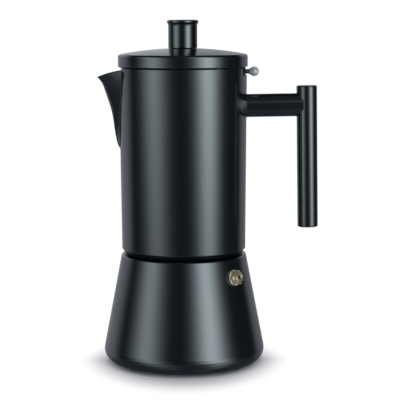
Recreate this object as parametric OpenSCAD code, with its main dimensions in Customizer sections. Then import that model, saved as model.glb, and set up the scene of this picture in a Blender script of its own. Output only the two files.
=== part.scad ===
// Stove-top moka pot: boiler, funnel, filter plate, gasket, collector with
// spout and handle, hinged lid with a ball-ended thumb lever, and a brass
// safety valve. The pot's axis is Z, the boiler stands on z = 0, the spout
// points to -X and the handle to +X.

/* [Boiler] */
// Widest radius of the boiler, near its foot
base_r = 52; // [48:0.5:60]
// Radius of the rounded foot
base_corner_r = 8.8; // [5:0.1:12]
// How far the boiler's shoulder stands out past the collector's foot
shoulder_out = 0.26; // [0:0.02:1.5]
// Height of the boiler's shoulder
shoulder_z = 70.9; // [64:0.1:90]
// Rounding of the shoulder's edge
shoulder_edge_r = 1.2; // [0.4:0.1:2]
// Thickness of the boiler's wall
boiler_wall = 1; // [0.8:0.1:1.4]
// Thickness of the boiler's bottom
base_t = 2; // [1.5:0.1:3]
// Thickness of the threaded neck
neck_wall = 2; // [1.5:0.1:2.2]
// Height of the neck above the shoulder
neck_h = 11.5; // [10:0.5:12.5]

/* [Collector] */
// Open gap between the boiler's shoulder and the collector
joint_gap = 3.1; // [2:0.1:4]
// Radius of the collector below its rim
collector_r = 41; // [36:0.5:46]
// How much narrower the collector is at its bottom
collector_taper = 1.05; // [0:0.05:1.5]
// Extra radius of the rim's flare
rim_flare = 0.05; // [0:0.05:0.5]
// Height of the flare below the rim
flare_h = 6; // [3:0.1:8]
// Height of the collector, from its bottom edge to its rim
collector_h = 116.8; // [110:0.1:150]
// Rounding of the collector's bottom edge
collector_edge_r = 1; // [0.4:0.1:1.5]
// Thickness of the collector's wall
collector_wall = 0.8; // [0.6:0.1:1]
// Thickness of the threaded collar under the collector
collar_t = 2.7; // [2:0.1:3.2]
// How far the collar lies inside the collector's edge
collar_inset = 1.4; // [1.4:0.1:3]
// How far the collar reaches below the collector's bottom edge
collar_drop = 2; // [1:0.1:2.5]
// Thickness of the collector's floor
floor_t = 0.8; // [0.6:0.1:1.2]
// Height of the floor's welded edge
floor_lip_h = 3; // [1.5:0.5:5]

/* [Coffee column] */
// Radius of the column at its foot
column_foot_r = 5.5; // [5:0.1:7]
// Radius of the column at its top
column_top_r = 4.5; // [4:0.1:4.9]
// Wall of the column
column_wall = 0.8; // [0.6:0.1:1]
// Radius of the column's welded flange
column_flange_r = 9; // [8:0.5:12]
// Height of the column above the floor
column_h = 79; // [60:1:90]
// Radius of the two outlets in the column's cap
outlet_r = 1.4; // [1:0.1:1.6]

/* [Funnel, filter and gasket] */
// How far the funnel's flange lies inside the neck's outer edge
flange_inset = 0.6; // [0.3:0.1:1.2]
// Sheet thickness of the funnel and the filter plate
sheet_t = 0.6; // [0.5:0.1:0.8]
// Gap between the basket and the neck's bore
basket_gap = 0.9; // [0.5:0.1:1.2]
// Depth of the coffee basket
basket_h = 22.4; // [16:0.2:26]
// Height of the cone between basket and stem
funnel_cone_h = 8; // [6:0.5:14]
// Radius of the funnel's stem
stem_r = 4.5; // [4:0.1:6]
// Gap between the stem's end and the boiler's bottom
stem_gap = 3.5; // [2:0.5:8]
// Radius of one hole in the two perforated plates
hole_r = 0.75; // [0.5:0.05:0.9]
// Distance between the holes
hole_pitch = 5; // [4.5:0.1:7]
// Width of the gasket
gasket_w = 6.1; // [5:0.1:7]
// Thickness of the gasket
gasket_t = 3; // [2:0.1:3.5]
// Width of the gasket's rim round the filter plate
rebate_w = 2.6; // [2.2:0.1:3]

/* [Safety valve] */
// Height of the valve's centre on the boiler's wall
valve_z = 59.1; // [48:0.1:62]
// Angle of the valve round the pot, from the handle
valve_azimuth = -41.6; // [-80:0.1:80]
// Width across the flats of the valve's hexagon
valve_hex_af = 9; // [8.5:0.1:11]
// Thickness of the valve's hexagon
valve_hex_t = 2.3; // [1.5:0.1:3]
// Radius of the valve's nose
nose_r = 3.2; // [2.8:0.1:3.6]
// Length of the valve's nose
nose_l = 1.1; // [0.6:0.1:2]
// Radius of the outlet in the nose
nose_bore_r = 1.3; // [1:0.05:1.5]
// Radius of the valve's threaded shank
shank_r = 2.9; // [2.7:0.05:3.1]
// Travel of the valve's poppet
valve_travel = 1.5; // [0.5:0.1:1.8]

/* [Spout] */
// How far the spout's tip reaches out from the collector's wall
spout_out = 14.1; // [12:0.1:22]
// Height of the tip below the collector's rim
spout_tip_drop = 5.7; // [4:0.1:8]
// Height of the spout
spout_h = 50; // [40:0.5:60]
// Half the spout's width where it meets the wall at the rim
spout_half_w = 13.9; // [10:0.1:16]
// Rounding of the spout's keel
keel_r = 3.5; // [2:0.1:4]
// Thickness of the spout's sheet
spout_t = 0.9; // [0.6:0.05:1.2]

/* [Handle] */
// Height of the bar's axis below the collector's rim
bar_drop = 24.4; // [18:0.1:34]
// Height of the bar's oval section
bar_h = 14.8; // [13:0.1:16]
// Width of the bar's oval section
bar_w = 12.4; // [9:0.1:12.6]
// Distance from the collector's wall to the grip's axis
grip_out = 38.6; // [30:0.1:55]
// Diameter of the grip
grip_d = 13.2; // [12.8:0.1:15]
// Height of the grip above the bar's axis
grip_above = 12.3; // [9:0.1:14]
// Length of the grip
grip_l = 91.4; // [70:0.1:110]
// Thickness of the grip's end caps
cap_t = 1.3; // [1:0.1:2]
// Rounding of the end caps
cap_edge_r = 0.8; // [0.3:0.1:1]
// Wall of the handle's two tubes
tube_wall = 1.2; // [0.8:0.1:1.6]
// Upward tilt of the whole handle
handle_tilt = 0.7; // [0:0.1:2]

/* [Lid] */
// How far the lid reaches out past the collector's rim
lid_overhang = 0.5; // [0.2:0.05:1.5]
// Gap between the collector's rim and the lid's skirt
lid_gap = 0.8; // [0.5:0.1:1.5]
// Height of the lid's skirt
skirt_h = 7.7; // [6:0.1:10]
// Rise of the lid's dome above its skirt
dome_rise = 4; // [2:0.1:7]
// Rounding of the lid's shoulder
lid_edge_r = 1.6; // [0.9:0.1:2.5]
// Thickness of the lid's sheet
lid_wall = 0.8; // [0.6:0.1:1]
// Depth of the ring that keeps the lid in the collector's mouth
ring_depth = 3.1; // [2:0.1:3.5]
// Gap between that ring and the collector's wall
ring_gap = 0.9; // [0.6:0.1:1.5]
// Half the angle left out of that ring at the hinge
ring_hinge_cut = 58; // [56:1:70]
// Half the angle left out of that ring at the spout
ring_spout_cut = 28; // [20:1:40]

/* [Knob] */
// Radius of the knob's shaft
knob_r = 9.25; // [8:0.05:10]
// Radius of the knob's lip
knob_lip_r = 10.1; // [9.8:0.05:11]
// Height of the knob above the lid's dome
knob_h = 18.1; // [14:0.1:22]
// Radius of the knob's screw
screw_r = 2; // [1.5:0.1:2.5]

/* [Hinge and thumb lever] */
// How far the hinge pin lies inside the collector's outer wall
hinge_inset = 2.7; // [2.5:0.05:2.9]
// Height of the hinge pin below the collector's rim
hinge_drop = 6.8; // [6.5:0.1:7.2]
// Radius of the hinge pin
pin_r = 0.8; // [0.6:0.05:1]
// Running clearance round the hinge pin
pin_clearance = 0.05; // [0.02:0.01:0.1]
// Half the width of the notch in the rim at the hinge
notch_half_w = 15.5; // [12:0.1:18]
// Depth of that notch below the rim
notch_h = 4.7; // [3:0.1:6]
// Half the width of the slot below the notch, which the lever passes through
slot_half_w = 2.5; // [2.4:0.1:3]
// Half the width of the hinge's arm
arm_half_w = 1.8; // [1.6:0.1:2]
// Length of the arm's leg under the lid
arm_leg_l = 10; // [6:0.5:14]
// Radius of the lever's rod
lever_r = 1.5; // [1.2:0.05:1.6]
// Radius of the lever's ball
ball_r = 3.1; // [2.5:0.05:3.2]
// Gap between the ball and the collector's rim
ball_gap = 1.55; // [1.2:0.05:4]
// Height of the ball above the hinge pin
ball_lift = 4.3; // [4:0.05:4.5]

/* [Hidden] */
$fn = 96;

// Finishes
BLACK = [0.09, 0.10, 0.11];
STEEL = [0.72, 0.72, 0.70];
CHROME = [0.82, 0.83, 0.84];
BRASS = [0.78, 0.70, 0.48];
SILICONE = [0.88, 0.87, 0.82];

// Gap between curved faces that are welded or pressed together
weld_gap = 0.03;
// Gap between the crests of the two screw threads
thread_gap = 0.4;
// Rounding of small edges
fine_edge = 0.2;
// Rounding of sheet-metal bends, inside
bend_r = 0.5;
// How far a cutting solid reaches past what it cuts
past = 1;

// Collector, which sets the radii of the boiler's neck and shoulder
collector_foot_r = collector_r - collector_taper;
rim_r = collector_r + rim_flare;
collector_z = shoulder_z + joint_gap;
rim_z = collector_z + collector_h;
flare_z = rim_z - flare_h;
collar_out_r = collector_foot_r - collar_inset;
collar_in_r = collar_out_r - collar_t;
function collector_r_at(z) =
    collector_foot_r + (collector_r - collector_foot_r) * (z - collector_z) / (flare_z - collector_z);

// Boiler
shoulder_r = collector_foot_r + shoulder_out;
neck_z = shoulder_z + neck_h;
neck_r = collar_in_r - thread_gap;
neck_bore_r = neck_r - neck_wall;
foot_dx = shoulder_r - base_r + base_corner_r;
foot_dz = shoulder_z - base_corner_r;
// Angle of the boiler's wall from the vertical
wall_slope = atan2(foot_dz, foot_dx) - acos(base_corner_r / norm([foot_dx, foot_dz]));
wall_across = boiler_wall / cos(wall_slope);
foot_r = base_r - base_corner_r + base_corner_r * (1 + sin(wall_slope)) / cos(wall_slope);
function boiler_r_at(z) = shoulder_r + (shoulder_z - z) * tan(wall_slope);

// Stack between the neck and the collector's floor
flange_z = neck_z + sheet_t;
plate_z = flange_z + sheet_t;
floor_z = flange_z + gasket_t;
basket_r = neck_bore_r - basket_gap;
basket_z = neck_z - basket_h;
cone_z = basket_z - funnel_cone_h;
stem_z = base_t + stem_gap;
funnel_flange_r = neck_r - flange_inset;
gasket_gap = 0.3;
gasket_r = collar_in_r - gasket_gap;
gasket_in_r = gasket_r - gasket_w;
rebate_r = gasket_r - rebate_w;
rebate_gap = 0.1;
plate_r = rebate_r - rebate_gap;
// Width of the unpierced edge of the two perforated plates
hole_margin = 1.5;

// Floor and column
floor_top = floor_z + floor_t;
column_top = floor_top + column_h;

// Spout
spout_rim_z = rim_z - 1.6;
spout_foot_z = spout_rim_z - spout_h;
spout_tip_z = rim_z - spout_tip_drop;
spout_reach = collector_r + spout_out;
SPOUT_ROWS = 22;
SPOUT_COLUMNS = 9;

// Handle
bar_z = rim_z - bar_drop;
grip_r = grip_d / 2;
grip_reach = collector_r + grip_out;
bar_foot_r = collector_r_at(bar_z);

// Lid
lid_r = rim_r + lid_overhang;
skirt_z = rim_z + lid_gap;
lid_top_z = skirt_z + skirt_h;
dome_z = lid_top_z + dome_rise;
dome_r = (lid_r * lid_r + dome_rise * dome_rise) / (2 * dome_rise);
function dome_at(r) = dome_z - dome_r + sqrt(dome_r * dome_r - r * r);
screw_gap = 0.15;
ring_flange_z = rim_z + 0.3;
ring_t = 0.8;
ring_in_r = collector_r - collector_wall - ring_gap - ring_t;

// Hinge
hinge_x = collector_r - hinge_inset;
hinge_z = rim_z - hinge_drop;
barrel_r = pin_r + pin_clearance + 0.75;
slot_z = hinge_z - 2.2;
arm_in_x = hinge_x - 0.8;
arm_out_x = hinge_x + 0.4;
ball_x = rim_r + ball_gap + ball_r;
ear_t = 0.9;
ear_in_y = slot_half_w + 0.1;
ear_out_y = ear_in_y + ear_t;
bracket_t = 0.8;
bracket_low_z = slot_z - 2.3;
bracket_top_z = skirt_z + 0.8;
// Where the bracket's outer corners meet the collector's wall
bracket_wall_r = collector_r_at(bracket_low_z) - collector_wall - weld_gap;
bracket_out_x = sqrt(bracket_wall_r * bracket_wall_r - ear_out_y * ear_out_y);

// Unit vector along v
function unit(v) = v / norm(v);

// Arc that rounds the corner b of the path a, b, c
function corner_arc(a, b, c, r, steps = 8) =
    let (u = unit(a - b),
         v = unit(c - b),
         half = acos(u * v) / 2,
         mid = b + unit(u + v) * r / sin(half),
         p = b + u * r / tan(half) - mid,
         q = b + v * r / tan(half) - mid,
         a0 = atan2(p.y, p.x),
         raw = atan2(q.y, q.x) - a0,
         turn = raw > 180 ? raw - 360 : raw < -180 ? raw + 360 : raw)
    [for (i = [0:steps]) mid + r * [cos(a0 + turn * i / steps), sin(a0 + turn * i / steps)]];

// Closed outline from corners [x, y, rounding], where a rounding of 0 stays sharp
function rounded(corners) =
    let (n = len(corners))
    [for (i = [0:n - 1])
        let (a = corners[(i + n - 1) % n], b = corners[i], c = corners[(i + 1) % n])
        for (p = b[2] > 0 ? corner_arc([a.x, a.y], [b.x, b.y], [c.x, c.y], b[2]) : [[b.x, b.y]]) p];

// Value of a smooth curve through points [x, y], at x
function slope_at(t, i) =
    let (a = max(i - 1, 0), b = min(i + 1, len(t) - 1)) (t[b].y - t[a].y) / (t[b].x - t[a].x);
function smooth_at(t, x, i = 0) =
    i < len(t) - 2 && x > t[i + 1].x ? smooth_at(t, x, i + 1) :
    let (h = t[i + 1].x - t[i].x, s = (x - t[i].x) / h)
    (2 * pow(s, 3) - 3 * s * s + 1) * t[i].y + (pow(s, 3) - 2 * s * s + s) * h * slope_at(t, i)
        + (3 * s * s - 2 * pow(s, 3)) * t[i + 1].y + (pow(s, 3) - s * s) * h * slope_at(t, i + 1);

// A turned piece from an outline of [radius, height] points
module turned(outline) {
    rotate_extrude() polygon(outline);
}

// A ring with square edges
module ring(r_in, r_out, z0, z1) {
    translate([0, 0, z0]) difference() {
        cylinder(r = r_out, h = z1 - z0);
        translate([0, 0, -past]) cylinder(r = r_in, h = z1 - z0 + 2 * past);
    }
}

// A flat shape in X and Z, drawn out along Y to both sides
module across(half_w, x, z) {
    translate([x, half_w, z]) rotate([90, 0, 0]) linear_extrude(2 * half_w) children();
}

// Rows of holes on a triangular grid within a radius
module hole_grid(within) {
    steps = floor(within / hole_pitch) + 1;
    for (i = [-steps:steps], j = [-steps:steps]) {
        p = hole_pitch * [i + j / 2, j * sin(60)];
        if (norm(p) + hole_r < within) translate(p) circle(r = hole_r, $fn = 24);
    }
}

// A perforated disc
module perforated(r, z, holes_within) {
    translate([0, 0, z]) linear_extrude(sheet_t) difference() {
        circle(r = r);
        hole_grid(holes_within);
    }
}

// ---- Boiler ----

module boiler() {
    color(BLACK) difference() {
        turned(rounded([
            [0, 0, 0],
            [foot_r, 0, base_corner_r],
            [shoulder_r, shoulder_z, shoulder_edge_r],
            [neck_r, shoulder_z, bend_r],
            [neck_r, neck_z, fine_edge],
            [neck_bore_r, neck_z, fine_edge],
            [neck_bore_r, shoulder_z - boiler_wall, fine_edge],
            [boiler_r_at(shoulder_z - boiler_wall) - wall_across, shoulder_z - boiler_wall, bend_r],
            [foot_r - wall_across - base_t * tan(wall_slope), base_t, base_corner_r - boiler_wall],
            [0, base_t, 0]
        ]));
        valve_place() translate([0, 0, -5 * boiler_wall]) cylinder(r = shank_r + 0.2, h = 10 * boiler_wall);
    }
}

// ---- Safety valve: local Z points out of the boiler's wall ----

washer_z = 0.15;
hex_z = 0.9;
hex_out = hex_z + valve_hex_t;
nose_out = hex_out + nose_l;
stem_out = nose_out - 0.4;
stem_r_valve = nose_bore_r - 0.08;
valve_bore_r = shank_r - 0.8;
poppet_r = valve_bore_r - 0.25;
poppet_t = 1;
seat_t = 0.8;
nut_t = 2.5;
nut_out = -boiler_wall - 0.35;
thread_fit = 0.05;
spring_wire_r = 0.28;
spring_mean_r = 1.65;
spring_turns = 5;
spring_spare = 2.8;
bore_end = hex_out - 1.3;
head_out = bore_end - 2 * spring_turns * spring_wire_r - valve_travel - spring_spare;
seat_out = head_out - poppet_t;
shank_end = seat_out - seat_t;

module valve_place() {
    wall_r = boiler_r_at(valve_z);
    translate([wall_r * cos(valve_azimuth), wall_r * sin(valve_azimuth), valve_z])
        rotate([0, 0, valve_azimuth]) rotate([0, 90 - wall_slope, 0]) children();
}

// A hexagon with its outer corners turned off
module chamfered_hex(af, z0, z1) {
    corner_r = af / 2 / cos(30);
    chamfer = corner_r - af / 2;
    intersection() {
        translate([0, 0, z0]) rotate(30) cylinder(r = corner_r, h = z1 - z0, $fn = 6);
        turned([[0, z0], [corner_r, z0], [corner_r, z1 - chamfer], [corner_r - chamfer, z1], [0, z1]]);
    }
}

module valve_body() {
    color(BRASS) valve_place() difference() {
        union() {
            chamfered_hex(valve_hex_af, hex_z, hex_out);
            turned(rounded([
                [0, shank_end, 0], [shank_r, shank_end, fine_edge], [shank_r, hex_z + bend_r, 0],
                [nose_r, hex_z + bend_r, 0], [nose_r, nose_out, 0.5 * nose_l], [0, nose_out, 0]
            ]));
        }
        turned([
            [0, shank_end - past], [valve_bore_r, shank_end - past], [valve_bore_r, bore_end],
            [nose_bore_r, bore_end], [nose_bore_r, nose_out + past], [0, nose_out + past]
        ]);
    }
}

module valve_washer() {
    color(SILICONE) valve_place() ring(shank_r + thread_fit, valve_hex_af / 2 + 0.4, washer_z, hex_z);
}

module valve_nut() {
    corner_r = (valve_hex_af - 0.5) / 2 / cos(30);
    color(BRASS) valve_place() difference() {
        translate([0, 0, nut_out - nut_t]) rotate(30) cylinder(r = corner_r, h = nut_t, $fn = 6);
        translate([0, 0, nut_out - nut_t - past]) cylinder(r = shank_r + thread_fit, h = nut_t + 2 * past);
    }
}

module valve_seat() {
    color(BRASS) valve_place() ring(nose_bore_r - 0.1, valve_bore_r - weld_gap, shank_end, seat_out);
}

// A coil of wire round Z, from z0 to z1 along the wire's centre
module coil(mean_r, wire_r, turns, z0, z1) {
    sides = 8;
    rings = 16 * turns;
    points = [for (i = [0:rings], k = [0:sides - 1])
        let (a = 360 * turns * i / rings, b = 360 * k / sides, r = mean_r + wire_r * cos(b))
        [r * cos(a), r * sin(a), z0 + (z1 - z0) * i / rings + wire_r * sin(b)]];
    walls = [for (i = [0:rings - 1], k = [0:sides - 1]) let (n = (k + 1) % sides)
        for (t = [[(i + 1) * sides + n, i * sides + n, i * sides + k],
                  [(i + 1) * sides + k, (i + 1) * sides + n, i * sides + k]]) t];
    first = [for (k = [1:sides - 2]) [k, k + 1, 0]];
    last = [for (k = [1:sides - 2]) [rings * sides + k + 1, rings * sides + k, rings * sides]];
    polyhedron(points, concat(walls, first, last));
}

module valve_spring() {
    color(STEEL) valve_place()
        coil(spring_mean_r, spring_wire_r, spring_turns, head_out + spring_wire_r, bore_end - spring_wire_r);
}

module valve_poppet() {
    color(BRASS) valve_place() turned(rounded([
        [0, seat_out, 0], [poppet_r, seat_out, 0], [poppet_r, head_out, fine_edge],
        [stem_r_valve, head_out, 0], [stem_r_valve, stem_out, 0.4], [0, stem_out, 0]
    ]));
}

// ---- Funnel, filter plate and gasket ----

module funnel() {
    t = sheet_t;
    color(STEEL) turned([
        [basket_r - t, flange_z], [basket_r - t, basket_z], [stem_r - t, cone_z], [stem_r - t, stem_z],
        [stem_r, stem_z], [stem_r, cone_z - t / 2], [basket_r, basket_z - t / 2],
        [basket_r, neck_z], [funnel_flange_r, neck_z], [funnel_flange_r, flange_z]
    ]);
}

module funnel_plate() {
    disc_r = basket_r - sheet_t - 0.2;
    color(STEEL) perforated(disc_r, basket_z + 0.15, disc_r - 2 * hole_margin);
}

module filter_plate() {
    color(STEEL) perforated(plate_r, flange_z, gasket_in_r - hole_margin);
}

module gasket() {
    color(SILICONE) turned([
        [gasket_in_r, plate_z], [rebate_r, plate_z], [rebate_r, flange_z],
        [gasket_r, flange_z], [gasket_r, floor_z], [gasket_in_r, floor_z]
    ]);
}

// ---- Collector ----

// Outline of the collector's outer surface, grown by a gap
function collector_skin(gap) = [
    [collector_foot_r + gap, collector_z], [collector_r + gap, flare_z], [rim_r + gap, rim_z]
];

module collector_solid(gap) {
    turned(concat([[0, collector_z]], collector_skin(gap), [[0, rim_z]]));
}

module collector_shell() {
    w = collector_wall;
    color(BLACK) difference() {
        turned(rounded([
            [collar_out_r + weld_gap, collector_z, 0],
            [collector_foot_r, collector_z, collector_edge_r],
            [collector_r, flare_z, 0],
            [rim_r, rim_z, fine_edge],
            [rim_r - w, rim_z, fine_edge],
            [collector_r - w, flare_z, 0],
            [collector_foot_r - w, collector_z + w, fine_edge],
            [collar_out_r + weld_gap, collector_z + w, 0]
        ]));
        spout_opening();
        lever_slot();
    }
}

// Wide notch for the hinge, and the narrow slot below it for the lever
module lever_slot() {
    reach = rim_r + past;
    for (cut = [[notch_half_w, rim_z - notch_h], [slot_half_w, slot_z]]) {
        inside_x = sqrt(pow(ring_in_r, 2) - pow(cut.x, 2));
        translate([inside_x, -cut.x, cut.y]) cube([reach - inside_x, 2 * cut.x, rim_z - cut.y + past]);
    }
}

module collector_floor() {
    edge_r = collector_r_at(floor_z) - collector_wall - weld_gap;
    lip_z = floor_top + floor_lip_h;
    bore_r = column_foot_r - column_wall - bend_r;
    color(STEEL) turned(rounded([
        [bore_r, floor_z, 0], [edge_r, floor_z, floor_t], [edge_r, lip_z, 0],
        [edge_r - floor_t, lip_z, 0], [edge_r - floor_t, floor_top, bend_r], [bore_r, floor_top, 0]
    ]));
}

module threaded_collar() {
    color(STEEL) turned(rounded([
        [collar_in_r, collector_z - collar_drop, bend_r], [collar_out_r, collector_z - collar_drop, bend_r],
        [collar_out_r, floor_z, 0], [collar_in_r, floor_z, 0]
    ]));
}

module riser_column() {
    w = column_wall;
    foot_z = floor_top + 0.18 * column_h;
    flange_top = floor_top + w;
    color(STEEL) turned(rounded([
        [column_foot_r - w, floor_top, 0], [column_flange_r, floor_top, 0], [column_flange_r, flange_top, 0],
        [column_foot_r + 2 * w, flange_top, 1], [column_foot_r, foot_z, 4],
        [column_top_r, column_top, 0], [column_top_r - w, column_top, 0], [column_foot_r - w, foot_z, 0]
    ]));
}

module column_cap() {
    w = column_wall;
    sleeve_h = 6;
    sleeve_z = column_top - sleeve_h;
    sleeve_r = column_top_r + sleeve_h * (column_foot_r - column_top_r) / (0.82 * column_h) + weld_gap;
    out_r = sleeve_r + w;
    bore_r = column_top_r - w;
    stop_z = column_top + weld_gap;
    top_z = stop_z + 2 * outlet_r + 2.6;
    color(STEEL) difference() {
        turned(rounded([
            [sleeve_r, sleeve_z, 0], [out_r, sleeve_z, fine_edge], [out_r, top_z, 2.5], [0, top_z, 0],
            [0, top_z - 1, 0], [bore_r, top_z - 1, w], [bore_r, stop_z, 0], [sleeve_r, stop_z, 0]
        ]));
        across(out_r + past, 0, stop_z + outlet_r + 0.65) circle(r = outlet_r);
    }
}

// ---- Spout: a folded sheet with a rounded keel, open along its top ----

// Height as a share of the spout's height, and reach as a share of its reach from the wall
function spout_up(share) = spout_foot_z + share * spout_h;
function spout_at(share) = collector_r + share * spout_out;

// Distance of the keel from the pot's axis, by height
keel = [
    [spout_foot_z, collector_r_at(spout_foot_z) + 0.25],
    [spout_up(0.052), spout_at(0.082)],
    [spout_up(0.172), spout_at(0.178)],
    [spout_up(0.47), spout_at(0.342)],
    [spout_tip_z - 0.208 * spout_h, spout_at(0.603)],
    [spout_tip_z - 0.08 * spout_h, spout_at(0.767)],
    [spout_tip_z - 0.028 * spout_h, spout_at(0.897)],
    [spout_tip_z, spout_reach],
    [spout_rim_z + past, spout_at(1.27)]
];

// Half the spout's width at the wall, by height
half_width = [
    [spout_foot_z, 0.025 * spout_half_w],
    [spout_up(0.12), 0.1 * spout_half_w],
    [spout_up(0.32), 0.3 * spout_half_w],
    [spout_up(0.566), 0.655 * spout_half_w],
    [spout_up(0.792), 0.856 * spout_half_w],
    [spout_rim_z + past, spout_half_w]
];

// Height of the spout's rim, by distance from the pot's axis
lip_drop = spout_rim_z - spout_tip_z;
spout_rim = [
    [spout_at(-0.2), spout_rim_z],
    [spout_at(0.07), spout_rim_z - 0.12 * lip_drop],
    [spout_at(0.596), spout_tip_z + 0.49 * lip_drop],
    [spout_at(0.767), spout_tip_z + 0.29 * lip_drop],
    [spout_reach, spout_tip_z]
];

// Distance from the axis of the wall's surface, at half width y
function wall_x(y, z) =
    let (flare = rim_flare * max(0, (z - flare_z) / flare_h),
         r = collector_r_at(min(z, flare_z)) + flare + weld_gap)
    sqrt(r * r - y * y);

// Point of the section at height z: side runs from -1 to 1, and inset is the way in from the outer skin
function spout_point(side, z, inset) =
    let (full_w = smooth_at(half_width, z),
         w = full_w - min(1.25 * inset, 0.5 * full_w),
         wall = wall_x(w, z),
         full_e = smooth_at(keel, z) - wall_x(0, z),
         e = (wall_x(0, z) - wall) + full_e - min(inset, 0.5 * full_e),
         bend = min(keel_r - inset, 0.35 * w * w / e),
         s2 = e * e / (w * w - 2 * e * bend),
         c = bend * s2,
         y = w * side * pow(abs(side), 0.35))
    [-(wall + e + c - sqrt(s2 * y * y + c * c)), y, z];

// The same, with the height found where the skin meets the rim's curve
function spout_top(side, inset, z, rounds = 12) =
    rounds == 0 ? z :
    spout_top(side, inset, (z + smooth_at(spout_rim, -spout_point(side, z, inset).x)) / 2, rounds - 1);

function spout_skin(inset) = [
    for (j = [-SPOUT_COLUMNS:SPOUT_COLUMNS])
        let (side = j / SPOUT_COLUMNS, top = spout_top(side, inset, spout_tip_z + 1))
        [for (i = [0:SPOUT_ROWS])
            spout_point(side, spout_foot_z + (top - spout_foot_z) * i / SPOUT_ROWS, inset)]
];

module spout() {
    outer = spout_skin(0);
    inner = spout_skin(spout_t);
    last = 2 * SPOUT_COLUMNS;
    top = SPOUT_ROWS;
    points = [for (skin = [outer, inner]) for (column = skin) for (p = column) p];
    function at(skin, j, i) = (skin * (last + 1) + j) * (top + 1) + i;
    function cell(skin, j, i) =
        [at(skin, j, i), at(skin, j, i + 1), at(skin, j + 1, i + 1), at(skin, j + 1, i)];
    quads = concat(
        [for (j = [0:last - 1], i = [0:top - 1]) cell(0, j, i)],
        [for (j = [0:last - 1], i = [0:top - 1]) let (q = cell(1, j, i)) [q[0], q[3], q[2], q[1]]],
        [for (j = [0:last - 1]) [at(0, j, top), at(1, j, top), at(1, j + 1, top), at(0, j + 1, top)]],
        [for (j = [0:last - 1]) [at(0, j, 0), at(0, j + 1, 0), at(1, j + 1, 0), at(1, j, 0)]],
        [for (i = [0:top - 1]) [at(0, 0, i), at(1, 0, i), at(1, 0, i + 1), at(0, 0, i + 1)]],
        [for (i = [0:top - 1]) [at(0, last, i), at(0, last, i + 1), at(1, last, i + 1), at(1, last, i)]]
    );
    triangles = [for (q = quads) for (t = [[q[0], q[1], q[2]], [q[0], q[2], q[3]]]) t];
    color(BLACK) polyhedron(points, triangles);
}

// Opening in the collector's wall behind the spout, open at the rim
module spout_opening() {
    margin = spout_t + 1;
    steps = 6;
    low_z = spout_up(0.22);
    top_z = rim_z + past;
    side = [for (i = [0:steps]) let (z = low_z + (spout_rim_z - low_z) * i / steps)
        [max(smooth_at(half_width, z) - margin, 0.6), z]];
    other = [for (i = [steps:-1:0]) [-side[i].x, side[i].y]];
    translate([-0.6 * collector_r, 0, 0]) rotate([90, 0, -90]) linear_extrude(0.6 * collector_r)
        polygon(concat(side, [[side[steps].x, top_z], [-side[steps].x, top_z]], other));
}

// ---- Handle ----

module handle_place() {
    translate([bar_foot_r, 0, bar_z]) rotate([0, -handle_tilt, 0]) children();
}

// Oval section, grown inwards by a wall
module oval(inset) {
    r = bar_w / 2 - inset;
    rise = (bar_h - bar_w) / 2;
    for (side = [-1, 1]) translate([side * rise, 0]) circle(r = r);
    square([2 * rise, 2 * r], center = true);
}

grip_x = grip_reach - bar_foot_r;

module grip_envelope(r) {
    translate([grip_x, 0, grip_above - grip_l]) cylinder(r = r, h = grip_l);
}

module handle_bar() {
    bar_back = 3;
    color(BLACK) difference() {
        handle_place() difference() {
            translate([-bar_back, 0, 0]) rotate([0, 90, 0]) linear_extrude(grip_x + bar_back) difference() {
                oval(0);
                oval(tube_wall);
            }
            grip_envelope(grip_r + weld_gap);
        }
        collector_solid(weld_gap);
    }
}

module handle_grip() {
    color(BLACK) handle_place() translate([grip_x, 0, 0])
        ring(grip_r - tube_wall, grip_r, grip_above - grip_l + cap_t, grip_above - cap_t);
}

// One end cap with its plug, turned over for the lower end
module grip_cap() {
    plug_r = grip_r - tube_wall - weld_gap;
    plug_l = 4;
    turned(rounded([
        [0, -plug_l, 0], [plug_r, -plug_l, bend_r], [plug_r, 0, 0], [grip_r, 0, fine_edge],
        [grip_r, cap_t, cap_edge_r], [0, cap_t, 0]
    ]));
}

module grip_caps() {
    color(BLACK) handle_place() translate([grip_x, 0, 0]) {
        translate([0, 0, grip_above - cap_t]) grip_cap();
        translate([0, 0, grip_above - grip_l + cap_t]) rotate([180, 0, 0]) grip_cap();
    }
}

// ---- Hinge ----

module hinge_bracket() {
    in_x = bracket_out_x - bracket_t;
    ear_r = bracket_out_x - hinge_x;
    color(BLACK) {
        translate([in_x, -ear_out_y, bracket_low_z]) cube([bracket_t, 2 * ear_out_y, slot_z - bracket_low_z]);
        for (side = [0, 1]) mirror([0, side, 0]) translate([0, (ear_in_y + ear_out_y) / 2, 0]) difference() {
            across(ear_t / 2, 0, 0) polygon(rounded([
                [hinge_x - ear_r, hinge_z - ear_r, 1], [in_x, slot_z, 0], [in_x, bracket_low_z, 0],
                [bracket_out_x, bracket_low_z, 0], [bracket_out_x, bracket_top_z, 1],
                [hinge_x - ear_r, bracket_top_z, 1]
            ]));
            across(ear_t / 2 + past, hinge_x, hinge_z) circle(r = pin_r + weld_gap);
        }
    }
}

module hinge_pin() {
    color(CHROME) across(ear_out_y + 0.4, hinge_x, hinge_z) circle(r = pin_r);
}

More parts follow.
